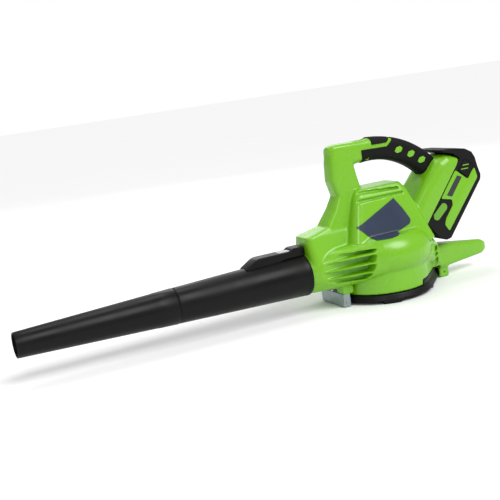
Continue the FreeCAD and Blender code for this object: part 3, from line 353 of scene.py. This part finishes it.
def moulded(name, colour, shade, grain_mm, depth_mm, polish, dull, coat=0.0, specular=0.5):
    """Moulded plastic: two close tones in broad clouds and the mould's fine grain."""
    material = new_material(name)
    place = add_node(material, "ShaderNodeTexCoord", {}).outputs["Object"]
    cloud = add_node(material, "ShaderNodeTexNoise", {"Vector": place, "Scale": 1 / 0.06, "Detail": 2.0})
    grain = add_node(material, "ShaderNodeTexNoise", {
        "Vector": place, "Scale": 1000 / grain_mm, "Detail": 3.0, "Roughness": 0.6})
    tone = add_node(material, "ShaderNodeMixRGB", {
        "Fac": cloud.outputs["Fac"], "Color1": linear(colour), "Color2": linear(shade)})
    rough = add_node(material, "ShaderNodeMapRange", {
        "Value": cloud.outputs["Fac"], "From Min": 0.35, "From Max": 0.65,
        "To Min": polish, "To Max": dull})
    bump = add_node(material, "ShaderNodeBump", {
        "Height": grain.outputs["Fac"], "Strength": 1.0, "Distance": depth_mm / 1000})
    shader = add_node(material, "ShaderNodeBsdfPrincipled", {
        "Base Color": tone.outputs["Color"], "Roughness": rough.outputs["Result"],
        "Normal": bump.outputs["Normal"], "IOR": 1.53, "Coat Weight": coat, "Coat Roughness": 0.2,
        "Specular IOR Level": specular})
    add_node(material, "ShaderNodeOutputMaterial", {"Surface": shader.outputs["BSDF"]})
    return material


def dress(pieces, material):
    """Give pieces one material; a CAD node is named by its text."""
    for piece in pieces:
        piece = frame["nodes"][piece] if isinstance(piece, str) else piece
        piece.data.materials.clear()
        piece.data.materials.append(material)


# Polished ABS in leaf green: a clear, slightly soft gloss over an even colour.
green_abs = moulded("green_abs", "#74B616", "#6EAF13", 1.4, 0.012, 0.22, 0.3)
dress(halves, green_abs)


# ---- Housing screws ----
# Eight cross-head steel screws, driven from the right into moulded bosses.

def metal(name, colour, shade, polish, dull, scratch_mm):
    """Bare or plated metal: fine scratches and a soft change of sheen."""
    material = new_material(name)
    place = add_node(material, "ShaderNodeTexCoord", {}).outputs["Object"]
    cloud = add_node(material, "ShaderNodeTexNoise", {"Vector": place, "Scale": 1 / 0.012, "Detail": 4.0})
    drawn = add_node(material, "ShaderNodeMapping", {"Vector": place, "Scale": (1.0, 12.0, 12.0)})
    scratch = add_node(material, "ShaderNodeTexNoise", {
        "Vector": drawn.outputs["Vector"], "Scale": 1000 / scratch_mm / 12, "Detail": 2.0})
    tone = add_node(material, "ShaderNodeMixRGB", {
        "Fac": cloud.outputs["Fac"], "Color1": linear(colour), "Color2": linear(shade)})
    rough = add_node(material, "ShaderNodeMapRange", {
        "Value": scratch.outputs["Fac"], "From Min": 0.3, "From Max": 0.7,
        "To Min": polish, "To Max": dull})
    bump = add_node(material, "ShaderNodeBump", {
        "Height": scratch.outputs["Fac"], "Strength": 0.6, "Distance": 0.00002})
    shader = add_node(material, "ShaderNodeBsdfPrincipled", {
        "Base Color": tone.outputs["Color"], "Roughness": rough.outputs["Result"],
        "Normal": bump.outputs["Normal"], "Metallic": 1.0})
    add_node(material, "ShaderNodeOutputMaterial", {"Surface": shader.outputs["BSDF"]})
    return material


def ease_edges(nodes, width_mm):
    """Break the sharp edges of CAD nodes that keep their shape."""
    for name in nodes:
        node = frame["nodes"][name]
        weld = node.modifiers.new("Weld", "WELD")
        weld.merge_threshold = 0.000005
        bevel = node.modifiers.new("Bevel", "BEVEL")
        bevel.width = width_mm / 1000
        bevel.segments = 2
        bevel.limit_method = "ANGLE"
        bevel.angle_limit = math.radians(40)
        bevel.use_clamp_overlap = True


# Zinc-plated steel: pale blue-grey, half bright, with fine rubbed marks.
zinc_steel = metal("zinc_plated_steel", "#AEB8BC", "#8C989C", 0.28, 0.45, 0.5)
dress(["housing_screws"], zinc_steel)
ease_edges(["housing_screws"], 0.2)


# ---- Handle grips ----
# Soft black TPE moulded over the bar, split along the middle, with six-sided windows
# for the shell's studs and a separate pad on top of the bar.

rubber = moulded("black_rubber", "#101110", "#151615", 0.9, 0.05, 0.55, 0.7, specular=0.12)
for node in ("grip_left", "grip_right", "grip_inlay"):
    grip = copy_nodes([node], node + "_skin")
    apply(grip, "REMESH", mode="VOXEL", voxel_size=0.0007)
    apply(grip, "SMOOTH", factor=0.5, iterations=4)
    apply(grip, "DISPLACE", strength=0.0005, mid_level=0.0)
    if node != "grip_inlay":
        side = -1 if node == "grip_left" else 1
        cut(grip, [stud(degrees, side * 12, side * 24, 1.24) for degrees in STUD_ANGLES])
    apply(grip, "DECIMATE", ratio=0.5)
    smooth(grip, 50)
    dress([grip], rubber)
    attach(grip, "housing")
    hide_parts(node)


# ---- Side badges ----
# Thin printed plates on the flats of the motor hump, left plain.

BADGE_CORNERS = [(20, 183.5), (34, 162), (45, 139), (41, 132), (12, 122.5), (-18, 118.5), (-46, 118), (-71, 145)]
badge_film = moulded("badge_film", "#222D40", "#2E3A50", 0.6, 0.01, 0.3, 0.36, 0.2, specular=0.3)
for half, side, name in ((halves[0], -1, "left"), (halves[1], 1, "right")):
    bpy.ops.object.select_all(action="DESELECT")
    bpy.ops.mesh.primitive_grid_add(
        x_subdivisions=64, y_subdivisions=40, size=1,
        location=(-0.013, side * 0.1, 0.151), rotation=(-side * math.pi / 2, 0, 0))
    badge = bpy.context.active_object
    badge.name = "badge_" + name + "_film"
    badge.scale = (0.124, 0.072, 1)
    settle(badge)
    bpy.ops.object.mode_set(mode="EDIT")
    for (x0, z0), (x1, z1) in zip(BADGE_CORNERS, BADGE_CORNERS[1:] + BADGE_CORNERS[:1]):
        bpy.ops.mesh.select_all(action="SELECT")
        bpy.ops.mesh.bisect(
            plane_co=(x0 / 1000, 0, z0 / 1000), plane_no=Vector((z0 - z1, 0, x1 - x0)).normalized(),
            clear_outer=True, threshold=0.00001)
    bpy.ops.object.mode_set(mode="OBJECT")
    apply(badge, "SHRINKWRAP", target=half, wrap_method="PROJECT", use_project_x=False,
          use_project_y=True, use_project_z=False, use_negative_direction=True,
          use_positive_direction=True, project_limit=0.09)
    apply(badge, "SMOOTH", factor=0.5, iterations=2)
    apply(badge, "SOLIDIFY", thickness=0.0013, offset=0.8)
    smooth(badge, 50)
    dress([badge], badge_film)
    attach(badge, "housing")
    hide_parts("badge_" + name)


# ---- Blower tube ----
# Two blow-moulded polypropylene cones, the front one pushed over the rear one's neck, and
# a ridge on top of the rear one that holds the release button.

TUBE_Z = 0.071


def turned(name, stations, corners=128):
    """Draw a ring out along the tube's axis through (x, radius) stations, in millimetres, and close it."""
    bpy.ops.object.select_all(action="DESELECT")
    x, radius = stations[0]
    bpy.ops.mesh.primitive_circle_add(
        vertices=corners, radius=radius / 1000,
        location=(x / 1000, 0, TUBE_Z), rotation=(0, math.pi / 2, 0))
    piece = bpy.context.active_object
    piece.name = name
    settle(piece)
    bpy.ops.object.mode_set(mode="EDIT")
    bpy.ops.mesh.select_all(action="SELECT")
    for (x0, r0), (x1, r1) in zip(stations, stations[1:] + stations[:1]):
        bpy.ops.mesh.extrude_region_move(TRANSFORM_OT_translate={"value": ((x1 - x0) / 1000, 0, 0)})
        bpy.ops.transform.resize(value=(1, r1 / r0, r1 / r0), center_override=(x1 / 1000, 0, TUBE_Z))
    bpy.ops.mesh.select_all(action="SELECT")
    bpy.ops.mesh.remove_doubles(threshold=0.00001)
    bpy.ops.mesh.normals_make_consistent(inside=False)
    bpy.ops.object.mode_set(mode="OBJECT")
    return piece


rear_cone = turned("rear_tube", [
    (-167, 39.6), (-168.2, 39.97), (-174, 39.75), (-176, 39.3), (-178, 39.55),
    (-300, 35.86), (-421, 32.12), (-424, 31.8), (-425, 31.2), (-425, 29.6),
    (-454, 29.3), (-455, 28.8), (-455, 27.2), (-425, 27.2), (-206, 36.5), (-205, 37), (-166.2, 37), (-166.2, 38.8)])
ridge = prism([
    (-287, 104), (-287, 107), (-266, 119.6), (-260, 121.7), (-255, 122), (-196, 122), (-192, 124.5),
    (-188, 126.5), (-168.5, 126.5), (-166, 125), (-166, 109), (-205, 109), (-220, 106)], -14, 14)
apply(ridge, "BEVEL", width=0.0022, segments=4, limit_method="ANGLE", angle_limit=math.radians(40))
apply(ridge, "BOOLEAN", object=rear_cone, operation="DIFFERENCE", solver="EXACT")
button_well = block(-216, -191, -9, 9, 111.5, 140)
cut(ridge, [button_well])
rear_tube = joined([rear_cone, ridge])
smooth(rear_tube, 30)
nozzle = turned("front_tube", [
    (-425.6, 30.6), (-425.9, 31.9), (-427, 32.37), (-462, 31.1), (-464.5, 30.6), (-520, 28.55),
    (-600, 25.63), (-690, 22.35), (-703, 21.87), (-704.6, 21.5), (-705, 20.9), (-704.8, 20.1),
    (-704, 19.6), (-685, 19.6), (-456, 28.4), (-456, 29.8), (-426, 29.8)])
cut(nozzle, [round_bar((-588, 0, 90), (-588, 0, 102), 1.7, 24)])
smooth(nozzle, 30)

# Blow-moulded polypropylene: black with a satin skin and a fine mould grain.
tube_black = moulded("blown_polypropylene", "#0B0C0C", "#121211", 2.0, 0.03, 0.3, 0.42, specular=0.14)
dress([rear_tube, nozzle], tube_black)
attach(rear_tube, "blower_tube")
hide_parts("upper_tube")
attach(nozzle, "nozzle")
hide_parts("nozzle_tube")

# The release button and the dial, smooth and a little waxy. The release button's pale grey is a painted highlight:
# it stands in for the sky reflected in a glossy black top.
painted_highlight_grey = moulded("painted_highlight_grey", "#B2B6B5", "#A5AAA9", 0.8, 0.008, 0.28, 0.36)
dress(["tube_button"], painted_highlight_grey)
# Speed dial: its pale sea-grey base colour is a painted highlight, standing in for the bluish sheen on top of the
# handle.
dial_highlight_paint = moulded("sea_grey_painted_highlight", "#7A9A86", "#70907C", 0.8, 0.008, 0.3, 0.4)
dress(["speed_dial"], dial_highlight_paint)
ease_edges(["tube_button", "speed_dial"], 0.25)

bright_steel = metal("ground_steel", "#C9CBCC", "#AEB1B3", 0.2, 0.35, 0.3)
dress(["button_spring", "latch_spring_left", "latch_spring_right", "motor_shaft", "lower_bearing",
       "upper_bearing", "motor_can", "motor_stator", "rotor_core"], bright_steel)


# ---- Intake guard ----
# Black glass-filled plastic grille with its rim, feet, hinge knuckle and rear tab in one
# moulding; it turns on a steel pin under the outlet.

black_abs = moulded("black_textured_abs", "#0E0F0E", "#141514", 0.8, 0.03, 0.36, 0.46, specular=0.14)
guard = copy_nodes(["intake_guard"], "guard_grille")
apply(guard, "REMESH", mode="VOXEL", voxel_size=0.0012)
apply(guard, "SMOOTH", factor=0.5, iterations=3)
apply(guard, "DECIMATE", ratio=0.6)
smooth(guard, 40)
dress([guard], black_abs)
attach(guard, "guard")
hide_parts("intake_guard")

dress(["hinge_bracket", "hinge_pin", "bracket_screws", "guard_lock_screw", "impeller_nut"], zinc_steel)
ease_edges(["hinge_bracket"], 0.5)
ease_edges(["hinge_pin", "bracket_screws", "guard_lock_screw", "impeller_nut"], 0.25)


# ---- Fan, motor and electronics ----
# Nylon impeller on the motor's shaft, seen through the grille, and what the shell hides.

nylon = moulded("glass_filled_nylon", "#26282A", "#303335", 1.0, 0.05, 0.5, 0.62)
dress(["impeller"], nylon)
dress(["motor_plate", "inlet_ring", "interlock_switch", "interlock_plunger", "speed_control",
       "battery_shoe", "terminal_block", "controller"], black_abs)
ease_edges(["battery_shoe", "terminal_block", "speed_control", "interlock_switch"], 0.4)
copper = metal("enamelled_copper", "#B8622E", "#A3521F", 0.25, 0.4, 0.4)
dress(["motor_windings", "terminal_blades"], copper)
aluminium = metal("extruded_aluminium", "#C4C7C9", "#B0B4B7", 0.3, 0.45, 0.6)
dress(["heat_sink"], aluminium)
wire_cover = moulded("wire_pvc", "#8E1512", "#7A110F", 0.6, 0.01, 0.4, 0.5)
dress(["motor_leads", "dial_lead"], wire_cover)
cell_wrap = moulded("cell_wrap", "#2C5F9E", "#25548E", 0.8, 0.01, 0.3, 0.4)
dress(["battery_cells"], cell_wrap)
frame_plastic = moulded("cell_frame_plastic", "#B9B9B4", "#ABABA6", 0.8, 0.02, 0.5, 0.6)
dress(["cell_frame"], frame_plastic)
board_mask = moulded("board_mask", "#1C6B3C", "#185F35", 0.8, 0.01, 0.3, 0.4)
dress(["battery_board"], board_mask)


# ---- Battery pack ----
# Black ABS case that slides down the cowl's seat, with green side plates, a stippled pad to
# push on, a blank label and squeeze latches near the top.

case = copy_nodes(["battery_cover", "battery_tray"], "battery_case")
case = skin(case, 1.1, 5)
smooth(case, 40)
dress([case], black_abs)
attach(case, "battery")
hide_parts("battery_cover", "battery_tray")

PLATE_OUTLINE = [
    (13.5, -54.5), (18.5, -38.5), (30, -34.5), (60, -34.5), (68.5, -27), (57, -3.5), (120.5, -3.5),
    (120.5, -39.5), (139, -39.5), (148, -41), (135.5, -58)]
LABEL_OUTLINE = [(69, -11.5), (72.5, -24), (117, -24), (114, -12.5)]
label_film = moulded("label_film", "#1E2224", "#25292B", 0.6, 0.008, 0.34, 0.42)
for side, name in ((-1, "left"), (1, "right")):
    y0, y1 = sorted((side * 38.5, side * 39.8))
    plate = prism(PLATE_OUTLINE, y0, y1, seat_point, 3.5)
    plate.name = "battery_side_" + name
    apply(plate, "BEVEL", width=0.0004, segments=2, limit_method="ANGLE", angle_limit=math.radians(50))
    smooth(plate)
    dress([plate], green_abs)
    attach(plate, "battery")
    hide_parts("battery_plate_" + name)
    y0, y1 = sorted((side * 39.7, side * 39.95))
    label = prism(LABEL_OUTLINE, y0, y1, seat_point, 1.2)
    label.name = "battery_label_" + name
    dress([label], label_film)
    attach(label, "battery")

# Stippled grip pad in the same green: dense small domes, so it reads rougher; its darker base colour is painted
# shade, standing in for the shade between the domes.
stipple_and_painted_shade = moulded("domed_green_painted_shade", "#66A51C", "#548E1B", 2.2, 0.35, 0.42, 0.5)
dress(["battery_pad_left", "battery_pad_right"], stipple_and_painted_shade)
ease_edges(["battery_pad_left", "battery_pad_right"], 0.3)
for side, name in ((-1, "left"), (1, "right")):
    y0, y1 = sorted((side * 34, side * 40))
    button = seat_block(124, 150, y0, y1, -36, -11)
    button.name = "latch_" + name + "_button"
    bpy.ops.object.mode_set(mode="EDIT")
    bpy.ops.mesh.select_all(action="DESELECT")
    bpy.ops.object.mode_set(mode="OBJECT")
    for face in button.data.polygons:
        face.select = face.normal.y * side > 0.9
    bpy.ops.object.mode_set(mode="EDIT")
    bpy.ops.mesh.inset(thickness=0.0032)
    bpy.ops.transform.translate(value=(0, -side * 0.0006, 0))
    bpy.ops.object.mode_set(mode="OBJECT")
    apply(button, "BEVEL", width=0.0009, segments=3, limit_method="ANGLE", angle_limit=math.radians(8))
    smooth(button)
    dress([button], black_abs)
    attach(button, "latch_" + name)
    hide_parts("latch_button_" + name)
    for number, (u, w, length) in enumerate(((128.5, -15, 17), (137, -14.2, 14.5))):
        ends = [(u, w), (u + 0.6225 * length, w - 0.7826 * length)]
        y0, y1 = sorted((side * 39.0, side * 40.2))
        line = prism([
            (ends[0][0] - 0.7, ends[0][1] - 0.55), (ends[1][0] - 0.7, ends[1][1] - 0.55),
            (ends[1][0] + 0.7, ends[1][1] + 0.55), (ends[0][0] + 0.7, ends[0][1] + 0.55)], y0, y1, seat_point)
        line.name = "latch_line_" + name + "_" + str(number)
        apply(line, "BEVEL", width=0.0003, segments=2)
        dress([line], green_abs)
        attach(line, "latch_" + name)


# ---- Studio ----
# Pale floor, soft lights from above and both sides, and a camera to the left and a little
# above, leaned over so that the tube falls away to the lower left.

bpy.ops.object.select_all(action="DESELECT")
bpy.ops.mesh.primitive_plane_add(size=30, location=(0, 0, -0.0005))
floor = bpy.context.active_object
floor.name = "floor"
paper = new_material("white_paper")
paper_place = add_node(paper, "ShaderNodeTexCoord", {}).outputs["Object"]
paper_cloud = add_node(paper, "ShaderNodeTexNoise", {"Vector": paper_place, "Scale": 3.0, "Detail": 2.0})
paper_tone = add_node(paper, "ShaderNodeMixRGB", {
    "Fac": paper_cloud.outputs["Fac"], "Color1": linear("#FBFBFB"), "Color2": linear("#F8F8F8")})
paper_shader = add_node(paper, "ShaderNodeBsdfPrincipled", {
    "Base Color": paper_tone.outputs["Color"], "Roughness": 0.9, "Specular IOR Level": 0.1})
add_node(paper, "ShaderNodeOutputMaterial", {"Surface": paper_shader.outputs["BSDF"]})
dress([floor], paper)

TARGET = Vector((-0.2681, 0, 0.1386))


def softbox(name, position, size, watts):
    """A square area light that faces the blower."""
    data = bpy.data.lights.new(name, "AREA")
    data.size = size
    data.energy = watts
    lamp = bpy.data.objects.new(name, data)
    bpy.context.scene.collection.objects.link(lamp)
    lamp.location = position
    lamp.rotation_euler = (TARGET - Vector(position)).to_track_quat("-Z", "Y").to_euler()


sun = bpy.data.lights.new("window_light", "SUN")
sun.energy = 2.1
sun.angle = 0.6
sunshine = bpy.data.objects.new("window_light", sun)
bpy.context.scene.collection.objects.link(sunshine)
sunshine.rotation_euler = Vector((-0.35, 0.75, -0.9)).to_track_quat("-Z", "Y").to_euler()
softbox("key_light", (-1.0, -1.5, 1.3), 0.35, 5)
softbox("top_light", (-0.2, 0.5, 1.6), 0.8, 6)
softbox("back_light", (0.6, 1.8, 1.2), 1.2, 8)

world = bpy.data.worlds.new("room")
bpy.context.scene.world = world
world.use_nodes = True
room = world.node_tree
room_light = room.nodes["Background"]
room_light.inputs["Color"].default_value = (1, 1, 1, 1)
room_light.inputs["Strength"].default_value = 0.5
backdrop = room.nodes.new("ShaderNodeBackground")
backdrop.inputs["Color"].default_value = (1, 1, 1, 1)
backdrop.inputs["Strength"].default_value = 1.0
seen = room.nodes.new("ShaderNodeLightPath")
mixed = room.nodes.new("ShaderNodeMixShader")
room.links.new(seen.outputs["Is Camera Ray"], mixed.inputs["Fac"])
room.links.new(room_light.outputs["Background"], mixed.inputs[1])
room.links.new(backdrop.outputs["Background"], mixed.inputs[2])
room.links.new(mixed.outputs["Shader"], room.nodes["World Output"].inputs["Surface"])
bpy.context.scene.view_settings.view_transform = "Standard"

YAW = math.radians(24)
RISE = math.radians(11)
ROLL = math.radians(8)
look = Vector((math.sin(YAW) * math.cos(RISE), math.cos(YAW) * math.cos(RISE), -math.sin(RISE)))
level = Vector((math.cos(YAW), -math.sin(YAW), 0))
upright = level.cross(look)
across = level * math.cos(ROLL) - upright * math.sin(ROLL)
above = level * math.sin(ROLL) + upright * math.cos(ROLL)
camera_data = bpy.data.cameras.new("camera")
camera_data.lens = 64
camera_data.sensor_width = 36
camera = bpy.data.objects.new("camera", camera_data)
bpy.context.scene.collection.objects.link(camera)
camera.location = (-0.9069, -1.4348, 0.4439)
camera.rotation_euler = Matrix((across, above, -look)).transposed().to_euler()
bpy.context.scene.camera = camera
